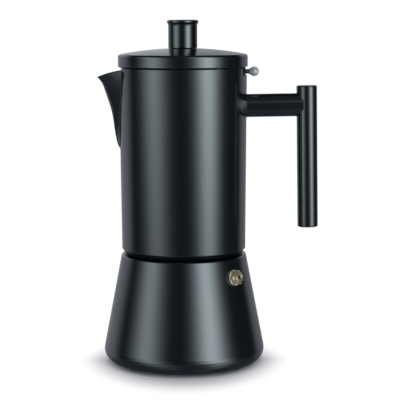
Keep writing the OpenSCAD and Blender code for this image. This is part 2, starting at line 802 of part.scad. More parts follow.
// Barrel, upright strip and the leg that is welded under the lid
module lid_arm() {
    under = -lid_wall - 2 * weld_gap;
    leg_in_x = arm_in_x - arm_leg_l;
    leg_t = arm_out_x - arm_in_x;
    barrel_half_w = slot_half_w - 0.2;
    color(STEEL) difference() {
        union() {
            across(barrel_half_w, hinge_x, hinge_z) circle(r = barrel_r);
            across(arm_half_w, 0, 0) polygon([
                [arm_in_x, hinge_z], [arm_out_x, hinge_z], [arm_out_x, dome_at(arm_out_x) + under],
                [leg_in_x, dome_at(leg_in_x) + under], [leg_in_x, dome_at(leg_in_x) + under - leg_t],
                [arm_in_x, dome_at(arm_in_x) + under - leg_t]
            ]);
        }
        across(slot_half_w + past, hinge_x, hinge_z) circle(r = pin_r + pin_clearance);
    }
}

// Turned rod that flares into a ball
module thumb_lever() {
    length = ball_x - arm_out_x;
    neck = length - ball_r;
    color(CHROME) translate([arm_out_x, 0, hinge_z + ball_lift]) rotate([0, 90, 0]) {
        turned([
            [0, 0], [lever_r, 0], [lever_r, neck - 0.7], [1.1 * lever_r, neck - 0.1],
            [1.37 * lever_r, neck + 0.45], [lever_r, length], [0, length]
        ]);
        translate([0, 0, length]) sphere(r = ball_r);
    }
}

// ---- Lid ----

module lid_shell() {
    inner_r = lid_r - lid_wall;
    hole = screw_r + screw_gap;
    steps = 10;
    dome = [for (i = [steps:-1:0]) let (r = hole + (lid_r * 0.93 - hole) * i / steps) [r, dome_at(r), 0]];
    under = [for (i = [0:steps])
        let (r = hole + (inner_r * 0.93 - hole) * i / steps) [r, dome_at(r) - lid_wall, 0]];
    color(BLACK) turned(rounded(concat(
        [[inner_r, skirt_z, fine_edge], [lid_r, skirt_z, 0.5 * lid_wall], [lid_r, lid_top_z, lid_edge_r]],
        dome,
        under,
        [[inner_r, dome_at(inner_r) - lid_wall, lid_edge_r - lid_wall]]
    )));
}

// Wedge round the axis, from one angle to the other
module wedge(middle, half, z0, z1) {
    reach = 2 * lid_r;
    points = [for (i = [0:6]) let (a = middle - half + half * i / 3) reach * [cos(a), sin(a)]];
    translate([0, 0, z0]) linear_extrude(z1 - z0) polygon(concat([[0, 0]], points));
}

// Ring under the lid that rests in the collector's mouth, left out at the hinge and the spout
module lid_ring() {
    flange_r = lid_r - lid_wall - 0.15;
    low_z = ring_flange_z - ring_depth;
    color(STEEL) difference() {
        turned([
            [ring_in_r, low_z], [ring_in_r + ring_t, low_z], [ring_in_r + ring_t, ring_flange_z],
            [flange_r, ring_flange_z], [flange_r, ring_flange_z + ring_t], [ring_in_r, ring_flange_z + ring_t]
        ]);
        wedge(0, ring_hinge_cut, low_z - past, ring_flange_z + ring_t + past);
        wedge(180, ring_spout_cut, low_z - past, ring_flange_z);
    }
}

screw_end_z = dome_z + 11.6;

module knob() {
    top = dome_z + knob_h;
    cove_z = top - 4;
    lip_z = top - 1.75;
    steps = 7;
    cove = [for (i = [1:steps - 1]) let (s = i / steps)
        [knob_r + (knob_lip_r - knob_r) * s * s, cove_z + (lip_z - cove_z) * s, 0]];
    color(BLACK) difference() {
        turned(rounded(concat(
            [[0, dome_z, 0], [knob_r, dome_z, 0.4], [knob_r, cove_z, 0]],
            cove,
            [[knob_lip_r, lip_z + 0.1, 0.4], [knob_lip_r - 0.1, top - 0.4, 0.6]],
            [[knob_lip_r - 2, top - 0.1, 1], [0, top, 0]]
        )));
        translate([0, 0, dome_z - past])
            cylinder(r = screw_r + weld_gap, h = screw_end_z - dome_z + 2 * past);
    }
}

// Pan-head screw that holds the knob from under the lid, with a cross recess
module knob_screw() {
    pan_r = 2 * screw_r;
    pan_h = 0.8 * screw_r;
    recess = [0.8 * pan_r, 0.15 * pan_r, 2 * past];
    seat_z = dome_at(pan_r) - lid_wall - 0.02;
    color(STEEL) difference() {
        turned(rounded([
            [0, seat_z - pan_h, 0], [pan_r, seat_z - pan_h, 1], [pan_r, seat_z, 0], [screw_r, seat_z, 0],
            [screw_r, screw_end_z, 0.4], [0, screw_end_z, 0]
        ]));
        translate([0, 0, seat_z - pan_h])
            for (turn = [0, 90]) rotate([0, 0, turn]) cube(recess, center = true);
    }
}

boiler();
valve_body();
valve_washer();
valve_nut();
valve_seat();
valve_spring();
valve_poppet();
funnel();
funnel_plate();
filter_plate();
gasket();
collector_shell();
collector_floor();
threaded_collar();
riser_column();
column_cap();
spout();
handle_bar();
handle_grip();
grip_caps();
hinge_bracket();
hinge_pin();
lid_shell();
lid_ring();
knob();
knob_screw();
lid_arm();
thumb_lever();
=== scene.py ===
# %% [markdown]
# # A stove-top moka pot
# The pot is a satin black boiler and collector, joined by a screw thread, with
# a folded spout, a bar handle, a domed lid with a round knob, a steel thumb
# lever and a brass safety valve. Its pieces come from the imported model. This
# file gives them their finishes, adds the detail that is too fine for the
# solids, and sets up a small studio round them. Sizes are in millimetres and
# become metres where a mesh is made.

# %% Load the frame
import math

import bmesh
import bpy
from mathutils import Matrix, Vector


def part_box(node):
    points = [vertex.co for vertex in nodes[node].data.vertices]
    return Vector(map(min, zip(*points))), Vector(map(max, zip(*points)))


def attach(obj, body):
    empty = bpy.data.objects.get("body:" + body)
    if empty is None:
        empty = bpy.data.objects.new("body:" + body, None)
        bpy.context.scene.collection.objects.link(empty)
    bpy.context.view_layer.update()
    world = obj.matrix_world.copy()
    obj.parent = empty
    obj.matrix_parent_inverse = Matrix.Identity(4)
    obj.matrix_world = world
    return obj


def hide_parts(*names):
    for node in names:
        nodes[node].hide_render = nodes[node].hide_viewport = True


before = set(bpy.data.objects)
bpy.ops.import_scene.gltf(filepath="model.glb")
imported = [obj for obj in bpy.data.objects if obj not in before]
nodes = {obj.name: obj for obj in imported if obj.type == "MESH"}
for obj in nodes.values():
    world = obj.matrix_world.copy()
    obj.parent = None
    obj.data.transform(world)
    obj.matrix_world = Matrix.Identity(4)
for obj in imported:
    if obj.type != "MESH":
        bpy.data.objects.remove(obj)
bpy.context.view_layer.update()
MM = 0.001

# %% [markdown]
# ## The camera
# The pot is seen from a little above its rim, from about a metre away and
# through a long lens, so that its upright walls stay upright. The camera could
# be aimed by a constraint. Here its own axes are built from yaw, pitch and
# roll, because that says exactly which way each of the three turns.

# %% Camera
CAMERA_PLACE = Vector((0.0, -946.7, 223.9))
CAMERA_YAW = math.radians(0.645)
CAMERA_PITCH = math.radians(7.14)
CAMERA_ROLL = math.radians(0.208)
LENS = 132.5
SENSOR = 36.0


def make_camera():
    level_right = Vector((math.cos(CAMERA_YAW), -math.sin(CAMERA_YAW), 0.0))
    level_ahead = Vector((math.sin(CAMERA_YAW), math.cos(CAMERA_YAW), 0.0))
    ahead = level_ahead * math.cos(CAMERA_PITCH) - Vector((0, 0, math.sin(CAMERA_PITCH)))
    level_up = level_right.cross(ahead)
    right = level_right * math.cos(CAMERA_ROLL) - level_up * math.sin(CAMERA_ROLL)
    up = level_right * math.sin(CAMERA_ROLL) + level_up * math.cos(CAMERA_ROLL)
    data = bpy.data.cameras.new("camera")
    data.lens = LENS
    data.sensor_width = SENSOR
    camera = bpy.data.objects.new("camera", data)
    turn = Matrix((right, up, -ahead)).transposed().to_4x4()
    camera.matrix_world = Matrix.Translation(CAMERA_PLACE * MM) @ turn
    bpy.context.scene.collection.objects.link(camera)
    bpy.context.scene.camera = camera


make_camera()
print("camera at", tuple(round(v, 1) for v in CAMERA_PLACE), "mm with a", LENS, "mm lens")

# %% [markdown]
# ## Helpers for colours and nodes
# Colours are written as they look on a screen, as hex values in sRGB. Blender
# computes with linear light, so one function turns them over. Making and
# linking nodes one by one takes many lines, so another function adds a node,
# sets it up and links it, and a third takes its first output.

# %% Colour and node helpers
WHITE_LIGHT = (1.0, 1.0, 1.0, 1.0)


def linear(hex_colour):
    parts = [int(hex_colour[i:i + 2], 16) / 255 for i in (1, 3, 5)]
    curve = [c / 12.92 if c <= 0.04045 else ((c + 0.055) / 1.055) ** 2.4 for c in parts]
    return (*curve, 1.0)


def plug(tree, node, sockets):
    for key, value in sockets.items():
        if isinstance(value, bpy.types.NodeSocket):
            tree.links.new(value, node.inputs[key])
        else:
            node.inputs[key].default_value = value


def add(tree, kind, inputs=None, **settings):
    node = tree.nodes.new(kind)
    for name, value in settings.items():
        setattr(node, name, value)
    plug(tree, node, inputs or {})
    return node


def made(tree, kind, inputs=None, **settings):
    return add(tree, kind, inputs, **settings).outputs[0]


print("a middle grey of #808080 is", round(linear("#808080")[0], 3), "in linear light")

# %% [markdown]
# ## Helpers for sums on values and colours
# A pattern or a light is a chain of small sums. Each helper below is one sum
# that this file needs again and again, and the nodes stay the usual ones.

# %% Sums
def math_of(tree, operation, a, b=0.0, c=0.0):
    return made(tree, "ShaderNodeMath", {0: a, 1: b, 2: c}, operation=operation)


def product(tree, *factors):
    result = factors[0]
    for factor in factors[1:]:
        result = math_of(tree, "MULTIPLY", result, factor)
    return result


def largest(tree, *values):
    result = values[0]
    for value in values[1:]:
        result = math_of(tree, "MAXIMUM", result, value)
    return result


def vector_of(tree, operation, first, second):
    return made(tree, "ShaderNodeVectorMath", {0: first, 1: second}, operation=operation)


def length_of(tree, vector):
    return add(tree, "ShaderNodeVectorMath", {0: vector}, operation="LENGTH").outputs["Value"]


def scaled(tree, vector, factor):
    return made(tree, "ShaderNodeVectorMath", {0: vector, "Scale": factor}, operation="SCALE")


def blend_colour(tree, factor, first, second):
    mix = add(tree, "ShaderNodeMix", {"Factor": factor, 6: first, 7: second}, data_type="RGBA")
    return mix.outputs[2]


def blend_value(tree, factor, first, second):
    return made(tree, "ShaderNodeMix", {"Factor": factor, 2: first, 3: second}, data_type="FLOAT")


def smooth_step(tree, value, start, end, low=0.0, high=1.0):
    return add(tree, "ShaderNodeMapRange", {
        "Value": value, "From Min": start, "From Max": end, "To Min": low, "To Max": high},
        interpolation_type="SMOOTHSTEP").outputs["Result"]


print("angles in these sums are in radians: 10 degrees are", round(math.radians(10), 4))

# %% [markdown]
# ## The studio
# A glossy black coating shows its surroundings more than its own colour, so
# the surroundings come first. They could be planes that glow, but those add
# noise. Here they are a rule on the direction that the world is seen in: an
# angle round the pot, with 0 at the camera and growing to the right, and a
# height, which is the sine of the angle above the horizon.
#
# Two tall softboxes, left and right of the camera, become the two long stripes
# down the walls. Their light fades out towards their borders, so the stripes
# have soft edges while the coating itself stays clear.

# %% Softboxes
# Angle round the pot and spread, both in degrees, and brightness
SOFTBOX_RIGHT = (43.5, 19.0, 2.6)
SOFTBOX_LEFT = (-55.5, 21.0, 1.28)
# They lean: their angle changes by this much from the horizon to the top
SOFTBOX_LEAN = math.radians(25.0)
# Most of their light fades out just below the horizon and the rest lower down
SOFTBOX_LOW = (-0.22, 0.0)
SOFTBOX_LOWEST = (-1.1, -0.15)
SOFTBOX_TAIL = 0.40
# Above the horizon they are a little weaker, and they end well below the top.
# Each band is a height where it starts, one where it ends, and the two levels.
SOFTBOX_HORIZON = (-0.06, 0.04, 1.0, 0.90)
SOFTBOX_HIGH = (0.32, 0.56, 1.0, 0.0)
SOFTBOX_COLOUR = linear("#F3FCFF")


def soft_window(tree, angle, box):
    middle, spread_by, brightness = math.radians(box[0]), math.radians(box[1]), box[2]
    away = math_of(tree, "DIVIDE", math_of(tree, "SUBTRACT", angle, middle), spread_by)
    falls = math_of(tree, "EXPONENT", product(tree, away, away, -1.0))
    return product(tree, falls, brightness)


def softbox_light(tree, angle, height):
    leaned = math_of(tree, "MULTIPLY_ADD", height, SOFTBOX_LEAN, angle)
    windows = math_of(tree, "ADD", *[soft_window(tree, leaned, box) for box in (SOFTBOX_RIGHT, SOFTBOX_LEFT)])
    fade = math_of(tree, "ADD",
                   smooth_step(tree, height, *SOFTBOX_LOW, 0.0, 1.0 - SOFTBOX_TAIL),
                   smooth_step(tree, height, *SOFTBOX_LOWEST, 0.0, SOFTBOX_TAIL))
    return product(tree, windows, fade, smooth_step(tree, height, *SOFTBOX_HORIZON),
                   smooth_step(tree, height, *SOFTBOX_HIGH))


print("softboxes at", SOFTBOX_LEFT[0], "and", SOFTBOX_RIGHT[0], "degrees round the pot")

# %% [markdown]
# ## The backdrop and the room
# A pale backdrop behind the pot lights the edges of every round part, and the
# dark room round the camera keeps the middle of each wall black. A faint
# ceiling and ground give the handle's bar two soft tones. Each band is a smooth
# step, because a hard border would show as a line in the coating.

# %% Backdrop and room
# The backdrop starts at the first angle and is full at the second, in degrees
BACKDROP_LEFT = (-99.0, -130.0, 0.41)
BACKDROP_RIGHT = (116.0, 138.0, 0.29)
# It is darker near the floor, brighter above the horizon, and fades out higher
# up and far down
BACKDROP_FOOT = (-0.172, -0.150, 0.80, 1.0)
BACKDROP_HORIZON = (0.01, 0.12, 1.0, 1.6)
BACKDROP_TOP = (0.36, 0.52, 1.0, 0.0)
BACKDROP_END = (-0.50, -0.25, 0.0, 1.0)
BACKDROP_COLOUR = linear("#F3F6FF")
ROOM_LEVEL = 0.026
CEILING = (0.25, 0.45, 0.0, 0.055)
# The ceiling is only in front: this is its step on the direction to the camera
CEILING_FRONT = (-0.15, 0.25)
GROUND = (-0.45, -0.25, 0.065, 0.0)
ROOM_COLOUR = linear("#D2E2FF")
# Light that only matt surfaces receive, so that they aren't lit by the stripes alone
FILL_LEVEL = 0.55


def backdrop_light(tree, angle, height):
    sides = [smooth_step(tree, angle, math.radians(start), math.radians(full), 0.0, level)
             for start, full, level in (BACKDROP_LEFT, BACKDROP_RIGHT)]
    bands = [smooth_step(tree, height, *band)
             for band in (BACKDROP_FOOT, BACKDROP_HORIZON, BACKDROP_TOP, BACKDROP_END)]
    return product(tree, math_of(tree, "ADD", *sides), *bands)


def room_light(tree, ahead, height):
    ceiling = product(tree, smooth_step(tree, height, *CEILING), smooth_step(tree, ahead, *CEILING_FRONT))
    ground = smooth_step(tree, height, *GROUND)
    return math_of(tree, "ADD", math_of(tree, "ADD", ceiling, ground), ROOM_LEVEL)


print("backdrop from", BACKDROP_LEFT[0], "and", BACKDROP_RIGHT[0], "degrees to the back")

# %% [markdown]
# ## The world
# Softboxes, backdrop and room are added up as light from far away. The camera
# itself sees plain white instead, so the pot stands free.

# %% World
def make_world():
    world = bpy.data.worlds.new("studio")
    bpy.context.scene.world = world
    world.use_nodes = True
    tree = world.node_tree
    tree.nodes.clear()
    place = add(tree, "ShaderNodeTexCoord")
    axes = add(tree, "ShaderNodeSeparateXYZ", {0: place.outputs["Generated"]})
    ahead = product(tree, axes.outputs["Y"], -1.0)
    angle = math_of(tree, "ARCTAN2", axes.outputs["X"], ahead)
    height = axes.outputs["Z"]
    rays = add(tree, "ShaderNodeLightPath").outputs
    fill = product(tree, rays["Is Diffuse Ray"], FILL_LEVEL)
    backdrop = math_of(tree, "ADD", backdrop_light(tree, angle, height), fill)
    room = scaled(tree, ROOM_COLOUR[:3], room_light(tree, ahead, height))
    backdrop = scaled(tree, BACKDROP_COLOUR[:3], backdrop)
    softboxes = scaled(tree, SOFTBOX_COLOUR[:3], softbox_light(tree, angle, height))
    studio = vector_of(tree, "ADD", vector_of(tree, "ADD", backdrop, room), softboxes)
    seen = largest(tree, rays["Is Camera Ray"], rays["Is Transmission Ray"])
    colour = blend_colour(tree, seen, studio, WHITE_LIGHT)
    back = add(tree, "ShaderNodeBackground", {"Color": colour, "Strength": 1.0})
    add(tree, "ShaderNodeOutputWorld", {"Surface": back.outputs[0]})
    return tree


world_tree = make_world()
print("the studio is a world of", len(world_tree.nodes), "nodes")

# %% [markdown]
# ## The floor
# The pot stands on a floor that catches its soft shadow from the lamp. Round
# the foot the floor is a pale grey oval, darker than the white beyond even where
# no light is blocked, so it is partly painted shadow. Instead of curving up
# behind the pot, the floor turns into pure white away from it. The coating
# should mirror the studio and not the floor, so the floor lets mirrored rays
# through to the world.

# %% Floor
# Painted shadow: up to the first distance from an oval round the foot the floor
# is a pale grey under the lamp's real shadow, and beyond the second it is white
SHADOW_OFFSET = (0.0, 34 * MM, 0.0)
SHADOW_SHAPE = (1.0, 0.57, 1.0)
SHADOW_REACH = (48.5 * MM, 73 * MM)
SHADOW_FLOOR_COLOUR = linear("#DCD9DB")


def floor_material():
    material = bpy.data.materials.new("studio_floor")
    material.use_nodes = True
    tree = material.node_tree
    tree.nodes.clear()
    place = add(tree, "ShaderNodeTexCoord").outputs["Object"]
    aside = made(tree, "ShaderNodeVectorMath", {0: place}, operation="ABSOLUTE")
    offset = vector_of(tree, "ADD", aside, SHADOW_OFFSET)
    reach = length_of(tree, vector_of(tree, "MULTIPLY", offset, SHADOW_SHAPE))
    far = smooth_step(tree, reach, *SHADOW_REACH)
    # Painted shadow: the pale grey floor round the foot
    shadow_floor = made(tree, "ShaderNodeBsdfDiffuse", {"Color": SHADOW_FLOOR_COLOUR})
    white = made(tree, "ShaderNodeEmission", {"Color": WHITE_LIGHT, "Strength": 1.0})
    seen = made(tree, "ShaderNodeMixShader", {0: far, 1: shadow_floor, 2: white})
    clear = made(tree, "ShaderNodeBsdfTransparent")
    mirrored = add(tree, "ShaderNodeLightPath").outputs["Is Glossy Ray"]
    mix = made(tree, "ShaderNodeMixShader", {0: mirrored, 1: seen, 2: clear})
    add(tree, "ShaderNodeOutputMaterial", {"Surface": mix})
    return material


print("floor white from", round(SHADOW_REACH[1] / MM, 1), "mm on")

# %% [markdown]
# ## The plane of the floor
# The plane is too large for its edge to show, and it lies a little under the
# pot, because two faces in one place would flicker.

# %% Floor plane
FLOOR_HALF = 6000
FLOOR_DROP = 0.3


def make_floor():
    mesh = bpy.data.meshes.new("floor")
    size = FLOOR_HALF * MM
    corners = [(-size, -size, 0), (size, -size, 0), (size, size, 0), (-size, size, 0)]
    mesh.from_pydata(corners, [], [(0, 1, 2, 3)])
    mesh.materials.append(floor_material())
    floor = bpy.data.objects.new("floor", mesh)
    floor.location.z = -FLOOR_DROP * MM
    bpy.context.scene.collection.objects.link(floor)


make_floor()
print("floor", FLOOR_DROP, "mm under the pot")

# %% [markdown]
# ## The light above
# One large square lamp over the pot gives the soft shadow round the foot, where
# a sun lamp would draw a hard one, and the floor's grey oval adds painted shadow
# to it. The coating would mirror the lamp as a bright square, so mirrored rays
# pass it by.

# %% Lamp
LAMP_HEIGHT = 1300
LAMP_SIZE = 900
LAMP_RADIANCE = 1.0


def softbox_above():
    data = bpy.data.lights.new("softbox_above", "AREA")
    data.shape = "SQUARE"
    data.size = LAMP_SIZE * MM
    data.energy = LAMP_RADIANCE * math.pi * data.size * data.size
    lamp = bpy.data.objects.new("softbox_above", data)
    lamp.location = (0.0, 0.0, LAMP_HEIGHT * MM)
    lamp.visible_glossy = False
    bpy.context.scene.collection.objects.link(lamp)


softbox_above()
bpy.context.scene.view_settings.view_transform = "Standard"
print("lamp", LAMP_HEIGHT, "mm up and", LAMP_SIZE, "mm wide")

# %% [markdown]
# ## Sizes read from the solids
# The added detail has to sit on the solids exactly, so its sizes are measured
# on their meshes and not typed in again: the smallest and largest radius
# between two heights, and the lowest and highest point of a piece.

# %% Measures
EDGE_BAND = 0.3


def radii(name, low=-math.inf, high=math.inf):
    spots = [v.co / MM for v in nodes[name].data.vertices if low <= v.co.z / MM <= high]
    spans = [math.hypot(p.x, p.y) for p in spots]
    return min(spans), max(spans)


def heights(name):
    low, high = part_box(name)
    return low[2] / MM, high[2] / MM


COLLECTOR_LOW, RIM_Z = heights("collector_shell")
NECK_Z = heights("boiler")[1]
NECK_R = radii("boiler", NECK_Z - EDGE_BAND, NECK_Z)[1]
COLLAR_IN_R = radii("threaded_collar")[0]
LID_R = radii("lid_shell")[1]
print("rim at", round(RIM_Z, 1), "neck radius", round(NECK_R, 2), "collar bore", round(COLLAR_IN_R, 2),
      "lid radius", round(LID_R, 2))

# %% [markdown]
# ## Finish: coordinates that every pattern uses
# Grain and turning marks are laid out in millimetres on the piece itself, so
# they keep their real size and stay put when it moves. A turned piece needs
# the radius, the height and the direction outwards from the axis. The angle
# round the axis would leave a seam where it starts again.

# %% Coordinates
def place_mm(tree):
    return scaled(tree, add(tree, "ShaderNodeTexCoord").outputs["Object"], 1 / MM)


def round_axes(tree, place):
    flat = vector_of(tree, "MULTIPLY", place, (1, 1, 0))
    radius = length_of(tree, flat)
    outward = made(tree, "ShaderNodeVectorMath", {0: flat}, operation="NORMALIZE")
    height = add(tree, "ShaderNodeSeparateXYZ", {0: place}).outputs["Z"]
    return radius, outward, height


def noise(tree, vector, scale, detail=2.0, roughness=0.5):
    inputs = {"Vector": vector, "Scale": scale, "Detail": detail, "Roughness": roughness}
    return add(tree, "ShaderNodeTexNoise", inputs, noise_dimensions="3D").outputs["Fac"]


def spread(tree, value, low, high, start=0.3, end=0.7):
    # Noise mostly lies between 0.3 and 0.7, so that range is stretched over the result.
    return add(tree, "ShaderNodeMapRange", {
        "Value": value, "From Min": start, "From Max": end, "To Min": low, "To Max": high}).outputs["Result"]


def new_finish(name):
    material = bpy.data.materials.new(name)
    material.use_nodes = True
    tree = material.node_tree
    return material, tree, tree.nodes["Principled BSDF"], place_mm(tree)


def bumped(tree, height, distance):
    inputs = {"Height": height, "Distance": distance * MM, "Strength": 1.0}
    return add(tree, "ShaderNodeBump", inputs).outputs["Normal"]


print("patterns read Object coordinates times", round(1 / MM), "so one unit is a millimetre")

# %% [markdown]
# ## Finish: the grain of bare steel
# The inner pieces are pressed or spun from stainless sheet, and the tool leaves
# fine marks round the axis. An image of such marks would stretch on the cones.
# A noise pattern that changes slowly round the axis, and quickly along the
# height and the radius, follows every turned shape.

# %% Turned steel
STEEL = linear("#B4B2AE")
STEEL_DARK = linear("#8F8D8A")
# How fast the pattern changes: round the axis, and per mm across the marks.
# Real marks are finer than 0.1 mm; these are about 0.2 mm apart so that they show.
GRAIN_ROUND = 1.3
GRAIN_ACROSS = 5.0
GRAIN_DEPTH = 0.004


def turned_grain(tree, outward, radius, height):
    slow = scaled(tree, outward, GRAIN_ROUND)
    across = product(tree, math_of(tree, "ADD", radius, height), GRAIN_ACROSS)
    lift = made(tree, "ShaderNodeCombineXYZ", {"Z": across})
    spot = vector_of(tree, "ADD", slow, lift)
    return noise(tree, spot, 1.0, detail=3.0, roughness=0.6)


def bare_steel(tree, grain, contrast, smooth, rough):
    colour = blend_colour(tree, spread(tree, grain, 0.0, contrast), STEEL, STEEL_DARK)
    return colour, spread(tree, grain, smooth, rough), bumped(tree, grain, GRAIN_DEPTH)


print("turning marks about", round(1 / GRAIN_ACROSS, 2), "mm apart and", GRAIN_DEPTH, "mm deep")

# %% [markdown]
# ## Finish: black baked enamel over brushed steel
# The outside of the pot is sprayed with a heat-proof black coating and baked.
# It dries with a faint orange-peel skin and a satin gloss, and the inside stays
# bare steel. Two materials would need a clean border between faces. Instead
# one material holds both finishes, and a mask says which is where, so the
# border can lie anywhere on the sheet.

# %% Values of the enamel
ENAMEL = linear("#070A0C")
ENAMEL_WORN = linear("#0C0F12")
# The gloss is a little cool, and strong enough for clear stripes
ENAMEL_TINT = (0.90, 0.98, 1.0, 1.0)
ENAMEL_IOR = 2.3
ENAMEL_ROUGH = (0.13, 0.16)
# Thicker and thinner patches of coating, about 30 mm across
CLOUD_SCALE = 0.035
# The orange-peel skin, about 1 mm across and 2 micrometres deep
SKIN_SCALE = 1.1
SKIN_DEPTH = 0.002
# Where the sheet is bare, its grain has this contrast and this roughness
BARE_CONTRAST = 0.6
BARE_ROUGH = (0.24, 0.34)
USUAL_SHINE = 0.5
print("enamel roughness from", ENAMEL_ROUGH[0], "to", ENAMEL_ROUGH[1])

# %% [markdown]
# ## Finish: one coating with a mask
# Colour, roughness, metal and bump change from coating to steel with the same
# mask, so their edges agree. A second mask takes the shine away in a narrow
# gap, as painted shade.

# %% Black enamel
def enamel(name, bare=None, ior=ENAMEL_IOR, gap_shade=None):
    material, tree, shader, place = new_finish(name)
    radius, outward, height = round_axes(tree, place)
    at = {"radius": radius, "height": height}
    cloud = noise(tree, place, CLOUD_SCALE, detail=3.0)
    skin = noise(tree, place, SKIN_SCALE, detail=1.0)
    colour = blend_colour(tree, spread(tree, cloud, 0.0, 1.0, 0.0, 1.0), ENAMEL, ENAMEL_WORN)
    rough = spread(tree, cloud, *ENAMEL_ROUGH, 0.0, 1.0)
    metal = 0.0
    normal = bumped(tree, skin, SKIN_DEPTH)
    if bare is not None:
        facing = add(tree, "ShaderNodeTexCoord").outputs["Normal"]
        dot = add(tree, "ShaderNodeVectorMath", {0: facing, 1: outward}, operation="DOT_PRODUCT")
        at["outwards"] = dot.outputs["Value"]
        at["upwards"] = add(tree, "ShaderNodeSeparateXYZ", {0: facing}).outputs["Z"]
        metal = bare(tree, at)
        grain = turned_grain(tree, outward, radius, height)
        steel, steel_rough, steel_normal = bare_steel(tree, grain, BARE_CONTRAST, *BARE_ROUGH)
        colour = blend_colour(tree, metal, colour, steel)
        rough = blend_value(tree, metal, rough, steel_rough)
        normals = {"Factor": metal, 4: normal, 5: steel_normal}
        normal = add(tree, "ShaderNodeMix", normals, data_type="VECTOR").outputs[1]
    plug(tree, shader, {
        "Base Color": colour, "Roughness": rough, "Metallic": metal, "Normal": normal,
        "Specular Tint": ENAMEL_TINT, "IOR": ior})
    # Where the gap mask is set, the shine is taken away as painted shade
    if gap_shade is not None:
        plug(tree, shader, {"Specular IOR Level": blend_value(tree, gap_shade(tree, at), USUAL_SHINE, 0.0)})
    return material


# Satin black with soft-edged light stripes, on pieces that are coated all over
black_enamel = enamel("black_enamel")
print(black_enamel.name, "has", len(black_enamel.node_tree.nodes), "nodes")

# %% [markdown]
# ## Finish: where the sheet is bare
# Before spraying, the inside, the screw thread and the flat base are masked
# off. A painted mask would need an unfolded surface. The masks here are rules
# on the direction that the surface faces and on its place: a wall that faces
# the axis, for example, is an inside wall.

# %% Masks
# A face looks some way when at least this share of its normal points there
FACING = 0.3
# The boiler's inside bottom is lower than this, and its shoulder is higher
BOTTOM_BELOW = 60.0
BASE_BELOW = 0.05
# The thread begins this far above the collector's edge. Under it, painted shade
# on the neck (a coat without shine) reaches this far down and out.
THREAD_ABOVE = 0.3
GAP_SHADE_DOWN = 3.6
GAP_SHADE_OUT = 1.5
# The enamel wraps round the lid's edge by this much
LID_WRAP = 0.85


def bare_inside(tree, at):
    return math_of(tree, "LESS_THAN", at["outwards"], -FACING)


def bare_boiler(tree, at):
    wall = bare_inside(tree, at)
    bottom = product(tree, math_of(tree, "GREATER_THAN", at["upwards"], FACING),
                     math_of(tree, "LESS_THAN", at["height"], BOTTOM_BELOW))
    neck = math_of(tree, "GREATER_THAN", at["height"], COLLECTOR_LOW + THREAD_ABOVE)
    base = math_of(tree, "LESS_THAN", at["height"], BASE_BELOW)
    return largest(tree, wall, bottom, neck, base)


# Painted shade: the neck in the narrow gap under the collector loses its shine
def neck_gap_shade(tree, at):
    low = math_of(tree, "GREATER_THAN", at["height"], COLLECTOR_LOW - GAP_SHADE_DOWN)
    inner = math_of(tree, "LESS_THAN", at["radius"], NECK_R + GAP_SHADE_OUT)
    return product(tree, low, inner)


def bare_lid(tree, at):
    under = product(tree, math_of(tree, "LESS_THAN", at["upwards"], -FACING),
                    math_of(tree, "LESS_THAN", at["radius"], LID_R - LID_WRAP))
    return largest(tree, under, bare_inside(tree, at))


print("boiler bare above", round(COLLECTOR_LOW + THREAD_ABOVE, 1), "mm, lid bare within",
      round(LID_R - LID_WRAP, 1), "mm of the axis")

# %% [markdown]
# ## Finish: the masked enamels
# The collector is bare inside, the lid underneath, and the boiler inside, on
# its thread and under its base. In the narrow gaps the coating is given no
# shine, which paints the shade that falls there, so a gap looks black. All are
# one coating with other masks or less shine, so they match where they meet.

# %% Masked enamels
# Painted shade: a coating that reflects almost nothing, for the gaps
GAP_SHADE_IOR = 1.12

# Satin black outside, and grey turned steel wherever the sheet looks at the axis
black_enamel_steel_inside = enamel("black_enamel_steel_inside", bare_inside)
# Painted shade: a black without shine, so that the gaps under the lid and over the boiler stay dark
gap_shade_enamel = enamel("gap_shade_enamel", bare_inside, GAP_SHADE_IOR)
# Satin black wall, grey inside, bright thread, grey flat base, painted shade on the neck
boiler_enamel = enamel("boiler_enamel", bare_boiler, ENAMEL_IOR, neck_gap_shade)
# Satin black dome with a grey steel underside
lid_enamel = enamel("lid_enamel", bare_lid)
enamels = (black_enamel, black_enamel_steel_inside, gap_shade_enamel, boiler_enamel, lid_enamel)
print("enamel finishes:", [material.name for material in enamels])

# %% [markdown]
# ## Finish: brushed steel
# The basket, the plates, the column and the screw are unpolished stainless
# steel. Handling and heat also leave slow changes of gloss. One roughness for
# the whole sheet would look like film, so a large, weak cloud is added to it.

# %% Brushed steel
SHEET_CONTRAST = 0.7
SHEET_ROUGH = (0.24, 0.36)
# Patches of gloss about 12 mm across, and how much they change the roughness
HANDLED_SCALE = 0.08
HANDLED_CHANGE = 0.03


def turned_steel(name):
    material, tree, shader, place = new_finish(name)
    radius, outward, height = round_axes(tree, place)
    grain = turned_grain(tree, outward, radius, height)
    cloud = noise(tree, place, HANDLED_SCALE, detail=3.0)
    colour, rough, normal = bare_steel(tree, grain, SHEET_CONTRAST, *SHEET_ROUGH)
    finish = math_of(tree, "ADD", rough, spread(tree, cloud, -HANDLED_CHANGE, HANDLED_CHANGE))
    plug(tree, shader, {
        "Base Color": colour, "Metallic": 1.0, "Roughness": finish, "Normal": normal})
    return material


# Grey metal with fine round marks, in which reflections blur along the axis
brushed_steel = turned_steel("brushed_steel")
print(brushed_steel.name, "roughness from", SHEET_ROUGH[0], "to", SHEET_ROUGH[1])

# %% [markdown]
# ## Finish: the thumb lever
# The lever is a polished steel rod that ends in a ball. Thumbs press the ball
# every day, which leaves it satin. Its paler grey is painted sheen: the ball is
# only partly metal, so its pale colour shows as the light it would reflect. The
# lever is one solid, so instead of two materials the finish changes over a short
# length where the ball begins.

